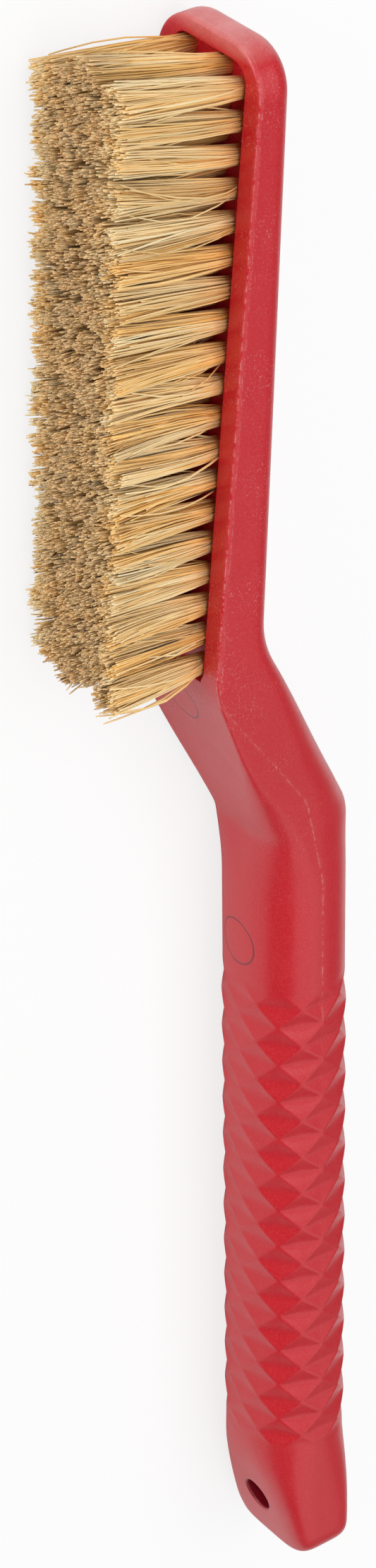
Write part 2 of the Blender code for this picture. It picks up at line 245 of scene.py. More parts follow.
def bent_line(x, corners, bends):
    """Straight lines through the corners. A parabola eases each inner corner, bend long to either side."""
    xs, ys = (np.array(side, float) for side in zip(*corners))
    height = np.interp(x, xs, ys)
    slopes = np.diff(ys) / np.diff(xs)
    for place, before, after, bend in zip(xs[1:-1], slopes[:-1], slopes[1:], bends):
        near = np.clip(bend - np.abs(x - place), 0.0, None)
        height = height + (after - before) * near ** 2 / (4.0 * bend)
    return height


def drawn_in(distance, radius):
    """What a quarter circle draws in at a distance from its end: the radius less the chord's height."""
    inside = np.clip(radius - distance, 0.0, radius)
    return radius - np.sqrt(radius ** 2 - inside ** 2)


def sway(x):
    """The handle's axis drifts back along a smooth step between the neck and the taper."""
    return HANDLE_SWAY * eased((x - NECK_BACK_END) / (TAPER_START - NECK_BACK_END))


def front_line(x, sizes):
    """Height of the face, the neck's front and the handle's front: five straight runs with eased bends."""
    slope = math.tan(FACE_LEAN)
    corners = ((-sizes.head_length, -HEAD_OFFSET + sizes.head_length * slope),
               (FACE_STRAIGHT_END, -HEAD_OFFSET - FACE_STRAIGHT_END * slope),
               (NECK_FRONT_END, -sizes.handle_depth / 2), (TAPER_START, -sizes.handle_depth / 2),
               (HANDLE_REACH, sizes.handle_depth / 2 - END_BACK_INSET - END_DEPTH))
    line = bent_line(x, corners, (BEND_FRONT_HEAD, BEND_FRONT_NECK, TAPER_BEND)) + sway(x)
    return line + drawn_in(HANDLE_REACH - x, END_EDGE_RADIUS)


def back_line(x, sizes):
    """Height of the back of the head, the neck and the handle: straight runs with eased bends."""
    slope = math.tan(FACE_LEAN) - (sizes.head_base_depth - sizes.head_tip_depth) / sizes.head_length
    base = -HEAD_OFFSET + sizes.head_base_depth
    corners = ((-sizes.head_length, base + sizes.head_length * slope),
               (BACK_STRAIGHT_END, base - BACK_STRAIGHT_END * slope),
               (NECK_BACK_END, sizes.handle_depth / 2), (TAPER_START, sizes.handle_depth / 2),
               (HANDLE_REACH, sizes.handle_depth / 2 - END_BACK_INSET))
    line = bent_line(x, corners, (BEND_BACK_HEAD, BEND_BACK_NECK, TAPER_BEND)) + sway(x)
    return line - drawn_in(HANDLE_REACH - x, END_EDGE_RADIUS)


def parting_line(x, sizes):
    """Height of the mould's parting line: under the rim's edge, then down the neck to the side's middle."""
    slope = math.tan(FACE_LEAN)
    edge = -HEAD_OFFSET + FACE_EDGE_RADIUS
    corners = ((-sizes.head_length, edge + sizes.head_length * slope),
               (PARTING_STRAIGHT_END, edge - PARTING_STRAIGHT_END * slope), PARTING_KNEE,
               (PARTING_LEVEL_FROM, 0.0), (TAPER_START, 0.0),
               (HANDLE_REACH, sizes.handle_depth / 2 - END_BACK_INSET - END_DEPTH / 2))
    return bent_line(x, corners, (FACE_EDGE_RADIUS, BEND_PARTING, BEND_PARTING, TAPER_BEND)) + sway(x)


def side_reach(x, inset, sizes):
    """Half the width of the plan outline, moved in by inset: a straight side between two quarter circles."""
    width = sizes.head_width / 2 + (sizes.handle_width - sizes.head_width) / 2 * eased(x / NECK_BACK_END)
    corner = np.maximum(TIP_CORNER_RADIUS - inset, LEAST_RADIUS)
    width = width - inset - drawn_in(x + sizes.head_length - inset, corner)
    return width - drawn_in(HANDLE_REACH - x, END_CORNER_RADIUS)


def recess_half_width(x, sizes):
    """Half the recess's width at x, where mesh lines follow its wall: the side, then round the corner."""
    side = sizes.head_width / 2 - sizes.rim_width
    end = -(sizes.head_length - RIM_TIP_WIDTH * math.cos(FACE_LEAN))
    return side - np.minimum(drawn_in(x - end, RECESS_CORNER_RADIUS), RECESS_CORNER_RADIUS)


def quarter_curve(x, depth, radius, front, sizes):
    """One quarter of the section at x, from the middle of its flat to its side.

    A flat run, a corner and a side run. The corner is a superellipse quarter whose size and power grow with
    fullness from a small round corner to the whole quarter of the handle's section. QUARTER steps are laid
    on it: on the head by runs, with many on the recess's wall and the corner, and on the handle evenly.
    """
    start, end = NECK_FRONT_ROUND if front else NECK_BACK_ROUND
    fullness = float(eased((x - start) / (end - start)))
    width = float(side_reach(x, 0.0, sizes))
    across = radius + (width - radius) * fullness
    along = min(radius, depth) + (depth - min(radius, depth)) * fullness
    boxed = float(eased((x - TAPER_START + TAPER_BEND) / (HANDLE_REACH - TAPER_START)))
    power = 2.0 / (2.0 + (SECTION_POWER - 2.0) * fullness + (END_SECTION_POWER - SECTION_POWER) * boxed)
    start = math.asin(min(max(1.0 - (x + sizes.head_length) / radius, 0.0), 1.0))
    angle = np.linspace(start, math.pi / 2, CORNER_SAMPLES)
    corner_out = side_reach(x, across * (1.0 - np.sin(angle) ** power), sizes)
    corner_forward = depth - along + along * np.cos(angle) ** power
    out = np.concatenate([np.linspace(0.0, corner_out[0], FLAT_SAMPLES)[:-1], corner_out,
                          np.full(SIDE_SAMPLES, corner_out[-1])])
    forward = np.concatenate([np.full(FLAT_SAMPLES - 1, corner_forward[0]), corner_forward,
                              np.linspace(corner_forward[-1], 0.0, SIDE_SAMPLES + 1)[1:]])
    length = np.concatenate([[0.0], np.cumsum(np.hypot(np.diff(out), np.diff(forward)) + LEAST_RISE)])
    flat, corner, total = length[FLAT_SAMPLES - 1], length[FLAT_SAMPLES + CORNER_SAMPLES - 2], length[-1]
    if front:
        wall = min(float(recess_half_width(x, sizes)), flat - WALL_TO_EDGE)
        runs = np.maximum.accumulate([0.0, wall - WALL_INSIDE, wall + WALL_OUTSIDE, flat, corner, total])
        shares = np.array(FRONT_RUNS) / QUARTER
    else:
        runs, shares = np.array([0.0, flat, corner, total]), np.array(BACK_RUNS) / QUARTER
    by_runs = np.interp(length, runs + np.arange(len(runs)) * LEAST_RUN, shares)
    handle_share = float(eased((x - FACE_EDGE_RADIUS) / NECK_BACK_END))
    place = (1.0 - handle_share) * by_runs + handle_share * length / total
    steps = np.arange(QUARTER + 1) / QUARTER
    return np.interp(steps, place, out), np.interp(steps, place, forward)


def recess_depth(along, across, sizes):
    """Depth of the recess: a smooth step down its wall, by the distance inside a rounded rectangle."""
    high = sizes.head_length / math.cos(FACE_LEAN) - RIM_TIP_WIDTH
    half = np.array([(high + RECESS_FOOT) / 2, sizes.head_width / 2 - sizes.rim_width])
    beyond_u = np.abs(along - (high - RECESS_FOOT) / 2) - half[0] + RECESS_CORNER_RADIUS
    beyond_w = np.abs(across) - half[1] + RECESS_CORNER_RADIUS
    outside = np.hypot(np.maximum(beyond_u, 0.0), np.maximum(beyond_w, 0.0))
    distance = np.minimum(np.maximum(beyond_u, beyond_w), 0.0) + outside - RECESS_CORNER_RADIUS
    return sizes.recess_depth * eased(-distance / RECESS_WALL)


def faceted(values, row, ring):
    """The grip's diamond facets: straight chords across the section, from each ridge to the next.

    A quarter of the section has four lines, and between them the section is drawn part way to straight. A
    ridge is where row plus or less half the line is whole. Each point moves towards the chord between the
    ridges below and above it, v(below) + (v(above) - v(below)) * (ring - below) / (above - below), by the
    square of (1 - bend) / run. There run is half the way between the ridges, 1 on the diamond's fold and 0 at
    its ends, and bend is 1 - run eased by a hyperbola, which softens the fold.
    """
    corner = ring // LINE_STEPS * LINE_STEPS
    between = (ring - corner) / LINE_STEPS
    straight = values[:, corner[0]] * (1.0 - between) + values[:, (corner[0] + LINE_STEPS) % RING] * between
    straight = values + (straight - values) * RIDGE_STRAIGHTNESS
    place = np.mod(ring / LINE_STEPS, 2.0)
    first, second = np.mod(-2.0 * row, 2.0), np.mod(2.0 * row, 2.0)
    low, high = np.minimum(first, second), np.maximum(first, second)
    below = np.where(place < low, high - 2.0, np.where(place < high, low, high)) - place
    above = np.where(place < low, low, np.where(place < high, high, low + 2.0)) - place
    run = np.maximum((above - below) / 2.0, LEAST_FOLD)
    whole_bend = math.hypot(1.0, FOLD_SOFTNESS) - FOLD_SOFTNESS
    bend = (np.hypot(1.0 - run, FOLD_SOFTNESS) - FOLD_SOFTNESS) / whole_bend
    below, above = (np.rint(side * LINE_STEPS).astype(int) for side in (below, above))
    start = np.take_along_axis(straight, (ring + below) % RING, axis=1)
    end = np.take_along_axis(straight, (ring + above) % RING, axis=1)
    chord = start + (end - start) * -below / np.maximum(above - below, 1)
    return straight + (chord - straight) * ((1.0 - bend) / run) ** 2


def quarter_turn(steps):
    """Angles from 0 to a quarter turn."""
    return np.linspace(0.0, math.pi / 2, steps)


def stations(sizes):
    """Places of the sections along x: close at the tip, the recess's ends, the bends and the grip's rows."""
    tip = -sizes.head_length
    recess_tip = tip + RIM_TIP_WIDTH * math.cos(FACE_LEAN)
    places = np.concatenate([
        tip + TIP_CORNER_RADIUS * (1.0 - np.cos(quarter_turn(TIP_STEPS))),
        tip + FACE_EDGE_RADIUS * (1.0 - np.cos(quarter_turn(EDGE_STEPS))),
        np.arange(recess_tip - FINE_STEP, recess_tip + FINE_RUN, FINE_STEP),
        np.arange(recess_tip + FINE_RUN, recess_tip + RECESS_CORNER_RADIUS + CORNER_RUN, STEP),
        np.linspace(recess_tip + RECESS_CORNER_RADIUS + MM, BACK_STRAIGHT_END - BEND_BACK_HEAD, HEAD_STEPS),
        np.linspace(BACK_STRAIGHT_END - BEND_BACK_HEAD, -RECESS_CORNER_RADIUS / 2, FOOT_STEPS),
        np.arange(-RECESS_CORNER_RADIUS / 2, RECESS_FOOT + STEP, STEP),
        np.linspace(RECESS_FOOT + COARSE_STEP, NECK_FRONT_ROUND[1], NECK_STEPS),
        np.linspace(NECK_FRONT_ROUND[1], GRIP_START, HANDLE_STEPS),
        GRIP_START + GRIP_PITCH / ROW_STEPS * np.arange(ROW_STEPS * GRIP_ROWS + 1),
        np.linspace(GRIP_START + GRIP_PITCH * GRIP_ROWS, HANDLE_REACH - END_CORNER_RADIUS, TAPER_STEPS),
        HANDLE_REACH - END_CORNER_RADIUS * (1.0 - np.sin(quarter_turn(END_CORNER_STEPS))),
        HANDLE_REACH - END_EDGE_RADIUS * (1.0 - np.sin(quarter_turn(END_EDGE_STEPS))),
    ])
    places = np.unique(np.round(places, 8))
    keep = np.concatenate([[True], np.diff(places) > LEAST_STEP])
    return places[keep]


def section_rings(places, parting, sizes):
    """Height over the parting line and z of the sections' points: two quarters, mirrored across the width."""
    front, back = front_line(places, sizes), back_line(places, sizes)
    half = []
    for x, low, high, middle in zip(places, front, back, parting):
        out_front, forward = quarter_curve(x, middle - low, FACE_EDGE_RADIUS, True, sizes)
        out_back, behind = quarter_curve(x, high - middle, min(BACK_EDGE_RADIUS, high - middle), False, sizes)
        half.append(np.stack([np.concatenate([out_front, out_back[-2::-1]]),
                              np.concatenate([-forward, behind[-2::-1]])]))
    half = np.array(half)
    z = np.concatenate([half[:, 0, :-1], -half[:, 0, :0:-1]], axis=1)
    return np.concatenate([half[:, 1, :-1], half[:, 1, :0:-1]], axis=1), z


def way_from_seam(x, y, z, ring):
    """Way round the section from the nearer parting line, less than zero on the front.

    It is the girth summed up from the middle of the face, less the girth at the end of the quarter. On the
    head the parting line lies further round, by the middle of the small corner's arc.
    """
    girth = np.hypot(np.diff(y, axis=1, append=y[:, :1]), np.diff(z, axis=1, append=z[:, :1]))
    girth = np.cumsum(girth, axis=1) - girth
    forward = FACE_EDGE_RADIUS * math.pi / 4 * (1.0 - eased(x / NECK_FRONT_END))
    near_side = np.abs(girth - girth[:, QUARTER:QUARTER + 1] + forward)
    far_side = np.abs(girth - girth[:, 3 * QUARTER:3 * QUARTER + 1] - forward)
    return np.minimum(near_side, far_side) * np.where(np.minimum(ring, RING - ring) < QUARTER, -1.0, 1.0)


def moulding_surface(sizes):
    """Places of the moulding's sections, their points, stations by RING, and each point's attributes.

    The recess is pressed into the face along its normal. The grip's section is drawn onto the chords between
    its ridges, and stands proud of the handle.
    """
    places = stations(sizes)
    parting = parting_line(places, sizes)
    y, z = section_rings(places, parting, sizes)
    x = np.repeat(places[:, None], RING, axis=1)
    ring = np.arange(RING)[None, :]

    on_front = np.minimum(ring, RING - ring) <= QUARTER
    at_edge = np.abs(z) > side_reach(x, 0.0, sizes) - FACE_EDGE_RADIUS
    depth = recess_depth(-x / math.cos(FACE_LEAN), z, sizes)
    depth = np.where(on_front & ~at_edge, depth, 0.0)

    row = (x - GRIP_START) / GRIP_PITCH
    share = eased(row / GRIP_FADE_ROWS) * eased((GRIP_ROWS - row) / GRIP_FADE_ROWS)
    y, z = (side + (faceted(side, row, ring) - side) * share * sizes.flatness for side in (y, z))
    grown = 1.0 + GRIP_PROUD * share / np.hypot(y, z)
    y, z = y * grown, z * grown
    seam = way_from_seam(x, y, z, ring)

    height = parting[:, None] + y + math.cos(FACE_LEAN) * depth
    points = np.stack([x + math.sin(FACE_LEAN) * depth, height, z], 2)
    return places, points + SHIFT, {"seam": seam / MM, "recess": depth / sizes.recess_depth}


def loft_faces(places):
    """Triangles between sections, each cell split along the nearer of the grip's two families of ridges."""
    rows, columns = np.meshgrid(np.arange(len(places) - 1), np.arange(RING), indexing="ij")
    beyond = (columns + 1) % RING
    a, b = rows * RING + columns, rows * RING + beyond
    c, d = a + RING, b + RING
    start = int(np.argmin(np.abs(places - GRIP_START)))
    line, row = (columns + 0.5) / LINE_STEPS, (rows - start + 0.5) / ROW_STEPS
    falling = np.abs(np.mod(row - line / 2 + 0.5, 1.0) - 0.5)
    climbing = np.abs(np.mod(row + line / 2 + 0.5, 1.0) - 0.5)
    along = (falling < climbing)[..., None]
    first = np.where(along, np.stack([a, b, d], -1), np.stack([a, b, c], -1))
    second = np.where(along, np.stack([a, d, c], -1), np.stack([b, d, c], -1))
    return np.concatenate([first.reshape(-1, 3), second.reshape(-1, 3)])


def new_object(name, points, faces, finish):
    """A mesh object from an array of points and a list of faces, shaded smooth, at the origin."""
    mesh = bpy.data.meshes.new(name)
    mesh.from_pydata(points.tolist(), [], faces)
    mesh.materials.append(finish)
    made = bpy.data.objects.new(name, mesh)
    bpy.context.scene.collection.objects.link(made)
    mesh.polygons.foreach_set("use_smooth", np.ones(len(mesh.polygons), bool))
    return made


def point_values(mesh, name, values):
    """Stores one number for each point of the mesh."""
    layer = mesh.attributes.new(name, "FLOAT", "POINT")
    layer.data.foreach_set("value", np.asarray(values, np.float32).ravel())


def tube_walls(count, sides):
    """Four-cornered faces between count rings of so many sides, from each ring to the next."""
    rows, columns = np.meshgrid(np.arange(count - 1), np.arange(sides), indexing="ij")
    beyond = (columns + 1) % sides
    return np.stack([rows * sides + columns, rows * sides + beyond,
                     (rows + 1) * sides + beyond, (rows + 1) * sides + columns], -1).reshape(-1, 4)


def hole_surface(sizes):
    """The hanging hole's cutter: a circle carried along y, which flares by a quarter circle at each face."""
    x = HANDLE_REACH - HOLE_FROM_END
    low, high = float(front_line(x, sizes)), float(back_line(x, sizes))
    turn = quarter_turn(HOLE_EDGE_STEPS)
    flare, rise = HOLE_EDGE * (1.0 - np.cos(turn)), HOLE_EDGE * np.sin(turn)
    heights = np.concatenate([[low - CUT_OVERRUN], low + HOLE_EDGE - rise[::-1],
                              high - HOLE_EDGE + rise, [high + CUT_OVERRUN]])
    radii = sizes.hole_diameter / 2 + np.concatenate([flare[-1:], flare[::-1], flare, flare[-1:]])
    angle = np.linspace(0.0, 2 * math.pi, HOLE_SIDES, endpoint=False)
    tilt = (float(front_line(x + MM, sizes)) - float(front_line(x - MM, sizes))) / (2 * MM)
    lean = np.where(heights < (low + high) / 2, tilt, 0.0)[:, None] * radii[:, None] * np.cos(angle)
    points = np.stack([x + radii[:, None] * np.cos(angle), heights[:, None] + lean,
                       radii[:, None] * np.sin(angle)], 2) + SHIFT
    count = len(heights)
    walls = tube_walls(count, HOLE_SIDES)
    ends = [list(range(HOLE_SIDES)), list(range((count - 1) * HOLE_SIDES, count * HOLE_SIDES))[::-1]]
    return points.reshape(-1, 3), walls.tolist() + ends


def outward(mesh):
    """Merges points that coincide and turns all faces outwards."""
    shape = bmesh.new()
    shape.from_mesh(mesh)
    bmesh.ops.remove_doubles(shape, verts=shape.verts, dist=MERGE_DISTANCE)
    bmesh.ops.recalc_face_normals(shape, faces=shape.faces)
    shape.to_mesh(mesh)
    shape.free()


def apply_modifiers(made):
    """Puts the result of an object's modifiers into its mesh."""
    graph = bpy.context.evaluated_depsgraph_get()
    mesh = bpy.data.meshes.new_from_object(made.evaluated_get(graph), preserve_all_data_layers=True,
                                           depsgraph=graph)
    made.modifiers.clear()
    old, made.data = made.data, mesh
    mesh.name = made.name
    bpy.data.meshes.remove(old)
    return mesh


def crease_edges(mesh):
    """Marks as sharp every edge that turns by more than the crease angle."""
    shape = bmesh.new()
    shape.from_mesh(mesh)
    shape.edges.ensure_lookup_table()
    turned = [len(edge.link_faces) == 2 and edge.calc_face_angle() > CREASE_ANGLE for edge in shape.edges]
    shape.free()
    mesh.attributes.new("sharp_edge", "BOOLEAN", "EDGE").data.foreach_set("value", turned)


class Value:
    """A shader socket that takes part in Python sums: each operator adds a Math node to its finish."""

    def __init__(self, finish, socket):
        self.finish, self.socket = finish, socket

    def maths(self, operation, *terms):
        """A Math node on the terms."""
        return self.finish.node("ShaderNodeMath", {"operation": operation}, dict(enumerate(terms)))

    def __add__(self, other):
        return self.maths("ADD", self, other)

    __radd__ = __add__

    def __sub__(self, other):
        return self.maths("SUBTRACT", self, other)

    def __rsub__(self, other):
        return self.maths("SUBTRACT", other, self)

    def __mul__(self, other):
        return self.maths("MULTIPLY", self, other)

    __rmul__ = __mul__

    def __truediv__(self, other):
        return self.maths("DIVIDE", self, other)

    def __pow__(self, other):
        return self.maths("POWER", self, other)

    def __abs__(self):
        return self.maths("ABSOLUTE", self)


class Finish:
    """A procedural material in the making, on one Principled shader that holds its constants."""

    def __init__(self, name, **constants):
        self.material = bpy.data.materials.new(name)
        self.material.use_nodes = True
        self.tree = self.material.node_tree
        self.shader = self.tree.nodes["Principled BSDF"]
        for key, value in constants.items():
            self.shader.inputs[key.replace("_", " ").title().replace("Ior", "IOR")].default_value = value

    def node(self, kind, settings=None, inputs=None, out=0):
        """Adds a node: its settings first, a ramp's stops among them, then its sockets' values or links."""
        made = self.tree.nodes.new(kind)
        for key, value in (settings or {}).items():
            if key == "stops":
                for _ in value[2:]:
                    made.color_ramp.elements.new(0.5)
                for element, (position, level) in zip(made.color_ramp.elements, value):
                    element.position, element.color = position, (level, level, level, 1.0)
            else:
                setattr(made, key, value)
        for key, value in (inputs or {}).items():
            if isinstance(value, Value):
                self.tree.links.new(value.socket, made.inputs[key])
            else:
                made.inputs[key].default_value = value
        return Value(self, made.outputs[out])

    def place(self):
        """Object coordinates."""
        return self.node("ShaderNodeTexCoord", out="Object")

    def attribute(self, name, out="Fac"):
        """A number or colour stored on the mesh."""
        return self.node("ShaderNodeAttribute", {"attribute_name": name}, out=out)

    def noise(self, place, scale, detail, roughness):
        """Noise texture's value at a place."""
        return self.node("ShaderNodeTexNoise", {}, {"Vector": place, "Scale": scale, "Detail": detail,
                                                    "Roughness": roughness})

    def ramp(self, value, *stops):
        """A number passed through a ramp of (position, level) stops."""
        return self.node("ShaderNodeValToRGB", {"stops": stops}, {"Fac": value})

    def pattern(self, place, scale, detail, roughness, *stops):
        """Noise passed through a ramp."""
        return self.ramp(self.noise(place, scale, detail, roughness), *stops)

    def blend(self, factor, first, second):
        """Two colours mixed by a factor."""
        return self.node("ShaderNodeMix", {"data_type": "RGBA"}, {0: factor, 6: first, 7: second}, out=2)

    def feed(self, name, value):
        """Links a value to a socket of the shader."""
        self.tree.links.new(value.socket, self.shader.inputs[name])

    def raise_surface(self, height, distance):
        """A Bump node from a height in units of distance, feeding Normal."""
        self.feed("Normal", self.node("ShaderNodeBump", {}, {"Height": height, "Distance": distance}))


def distance_from(finish, place, centre, aside=0.0):
    """Distance from a line along y: the root of x squared and z squared, measured from the line."""
    x, z = (finish.node("ShaderNodeSeparateXYZ", {}, {0: place}, out=out) for out in (0, 2))
    along, across = x - (centre + SHIFT[0]), z - (SHIFT[2] + aside)
    return (along * along + across * across) ** 0.5


def ring_marks(finish, place, seam):
    """The rings that ejector pins left on the front: 1 where the distance to a pin's middle is its radius."""
    marks = 0.0
    for centre in PIN_PLACES:
        off_ring = abs(distance_from(finish, place, centre, PIN_ASIDE) - PIN_RADIUS)
        marks = marks + finish.ramp(off_ring / RING_LINE, (0.3, 1.0), (1.0, 0.0))
    return marks * finish.ramp(seam / -6.0, (0.55, 0.0), (0.75, 1.0))


def red_plastic(colours):
    """Satin moulded plastic: deep red, finely mottled, with pale specks, a rubbed parting line, painted shade
    in the rings and the hole, and a painted sheen on the tip.
    """
    finish = Finish("red_plastic", roughness=0.42, metallic=0.0, specular_ior_level=0.6)
    place = finish.place()
    seam, recess = (finish.attribute(name) for name in ("seam", "recess"))
    x = finish.node("ShaderNodeSeparateXYZ", {}, {0: place})
    past_head = x / FADE_RUN + 0.6

    # Mottling: clouds of half a centimetre, fine grain, and specks in patches that fade towards the handle
    cloud = finish.pattern(place, 200.0, 4.0, 0.6, (0.35, 0.0), (0.75, 1.0))
    grain = finish.noise(place, 3200.0, 3.0, 0.65)
    fine = finish.ramp(grain, (0.46, 0.0), (0.66, 1.0))
    patches = finish.pattern(place, 110.0, 3.0, 0.6, (0.46, 0.0), (0.62, 1.0))
    dots = finish.pattern(place, 2300.0, 2.0, 0.5, (0.55, 0.0), (0.66, 1.0))
    specks = finish.pattern(place, 3600.0, 2.0, 0.55, (0.60, 0.0), (0.70, 1.0))
    specks = specks * (0.2 + 0.8 * patches) * finish.ramp(past_head, (0.0, 1.0), (1.0, 0.12))
    # Masks of the pins' rings and of the hanging hole, where shade is painted further down
    rings = ring_marks(finish, place, seam)
    to_hole = distance_from(finish, place, HANDLE_REACH - HOLE_FROM_END) / HOLE_REGION
    hole_shade = finish.ramp(to_hole, (0.43, 1.0), (0.49, 0.0))

    # Wear: the parting line's flash and a paler strip beside it. Pale dots along the recess's lip
    wear = finish.pattern(place, 900.0, 3.0, 0.75, (0.42, 0.0), (0.62, 1.0))
    wear = wear * finish.ramp(past_head * 0.5, (0.45, 1.0), (0.6, 0.1))
    flash = finish.ramp(abs(seam), (0.04, 1.0), (0.11, 0.0)) * wear
    beside = finish.ramp(abs(seam), (0.10, 1.0), (0.60, 0.0)) * wear
    lip = finish.ramp(recess, (0.0, 0.0), (0.02, 1.0), (0.12, 1.0), (0.22, 0.0)) * dots

    # Each layer of colour goes over the one before
    colour = finish.blend(cloud * 0.10, colours.plastic, colours.haze)
    colour = finish.blend(fine * 0.35, colour, colours.haze)
    colour = finish.blend(specks * 0.4, colour, colours.scuff_and_sheen)
    colour = finish.blend(flash * 0.4 + lip * 0.5, colour, colours.scuff_and_sheen)
    colour = finish.blend(beside * 0.07, colour, colours.scuff_and_sheen)
    # Painted sheen: the head's tip is paled over its last few millimetres, standing in for the light it
    # reflects
    tip = finish.ramp((x + TIP_END) / PAINTED_TIP_SHEEN_RUN, (0.0, 1.0), (0.9, 0.0))
    colour = finish.blend(tip * (0.3 + 0.5 * cloud), colour, colours.scuff_and_sheen)
    # Painted shade: the pins' rings and the hanging hole are darkened where shade falls in their hollows
    colour = finish.blend(rings * 0.9, colour, colours.plastic_shade)
    colour = finish.blend(hole_shade * 0.85, colour, colours.plastic_shade)
    finish.feed("Base Color", colour)
    finish.feed("Roughness", 0.24 + 0.06 * cloud + 0.12 * grain)
    finish.raise_surface(0.6 * grain + 0.8 * flash - 0.4 * specks - rings, PLASTIC_RELIEF)
    return finish.material


def boar_bristle():
    """Natural boar bristle: each hair carries its own colour, with a fine change along and across it."""
    finish = Finish("boar_bristle", roughness=0.42, metallic=0.0)
    shade = finish.attribute("hair_colour", "Color")
    mottle = finish.noise(finish.place(), 1800.0, 2.0, 0.6)
    finish.feed("Base Color", finish.blend(mottle * 0.10, shade, (0.60, 0.34, 0.12, 1.0)))
    finish.feed("Roughness", 0.34 + 0.22 * mottle)
    return finish.material


def tuft_place(column, row, sizes):
    """Root of a tuft on the face: rows a pitch apart, every second column further up by the stagger."""
    across = ((COLUMNS - 1) / 2 - column) * sizes.spacing
    return row * sizes.pitch + (sizes.stagger if column % 2 else 0.0), across


def hair_paths(places, chance, sizes):
    """Centre lines of the hairs of some tufts, in the face's own axes, and the lock of each hair.

    Roots fill a disc by the golden angle. Tips are the roots spread by a factor, drawn together into locks,
    and cut on one slanting plane. Between them the line is straight, with a bow of half a sine wave and a
    wave of one whole sine. A few hairs are shorter, and a few strays lean across the others.
    """
    count = sizes.hairs
    index = np.arange(count) + 0.5
    paths, locks = [], []
    share = np.array(HAIR_STEPS)[None, :, None]
    for order, (along, across) in enumerate(places):
        radius = sizes.tuft_radius * np.sqrt(index / count)
        angle = index * GOLDEN_ANGLE + chance.uniform(0.0, FIRST_TURN)
        root = np.stack([radius * np.cos(angle), radius * np.sin(angle)], 1)
        root += chance.normal(0, ROOT_SCATTER, (count, 2))
        tip = root * SPREAD_IN_TUFT
        middles = chance.normal(0.0, LOCK_SCATTER, (LOCKS, 2)) * SPREAD_IN_TUFT * LOCK_SPREAD
        lock = np.argmin(np.linalg.norm(tip[:, None] - middles[None], axis=2), axis=1)
        pull = chance.uniform(*LOCK_PULL, (count, 1))
        tip += (middles[lock] - tip) * pull + chance.normal(0, TIP_SCATTER, tip.shape)
        tip *= np.minimum(1.0, TIP_REACH / np.linalg.norm(tip, axis=1, keepdims=True))
        tip += chance.normal(0.0, 1.0, 2) * TUFT_LEAN
        stray = chance.random(count) < sizes.stray_share
        tip[stray] += chance.normal(0.0, 1.0, (stray.sum(), 2)) * STRAY_REACH
        far = 0.5 - across / ((COLUMNS - 1) * sizes.spacing)
        drawn_back = TOP_DRAWN_BACK * far * (along / ((ROWS - 1) * sizes.pitch)) ** TOP_POWER
        tip += (along * SPREAD_ALONG + TIP_SHIFT - drawn_back, across * SPREAD_ACROSS)
        tip[:, 1] = np.clip(tip[:, 1], -SPREAD_LIMIT, SPREAD_LIMIT)
        top = (ROWS - 1) * sizes.pitch * SPREAD_ALONG
        height = sizes.length_at_base + (sizes.length_at_tip - sizes.length_at_base) * tip[:, 0] / top
        height += (chance.normal(0.0, HEIGHT_SCATTER, count)
                   + chance.normal(0.0, LOCK_HEIGHT_SCATTER, LOCKS)[lock])
        height -= np.where(chance.random(count) < SHORT_SHARE, chance.exponential(SHORT_BY, count), 0.0)
        start = np.column_stack([root + (along, across), np.full(count, -sizes.root_sink)])
        run = np.column_stack([tip, np.maximum(height, LEAST_HEIGHT)]) - start
        lean = share ** LEAN_POWER
        path = start[:, None] + run[:, None] * np.concatenate([lean, lean, share], axis=2)
        bow = chance.normal(0.0, HAIR_BOW, (count, 1, 2)) + chance.normal(0.0, LOCK_BOW, (LOCKS, 1, 2))[lock]
        bow[stray] *= STRAY_BOW
        path[:, :, :2] += bow * np.sin(share * math.pi)
        path[:, :, :2] += chance.normal(0.0, HAIR_WAVE, (count, 1, 2)) * np.sin(share * math.tau)
        paths.append(path)
        locks.append(lock + order * LOCKS)
    return np.concatenate(paths), np.concatenate(locks)


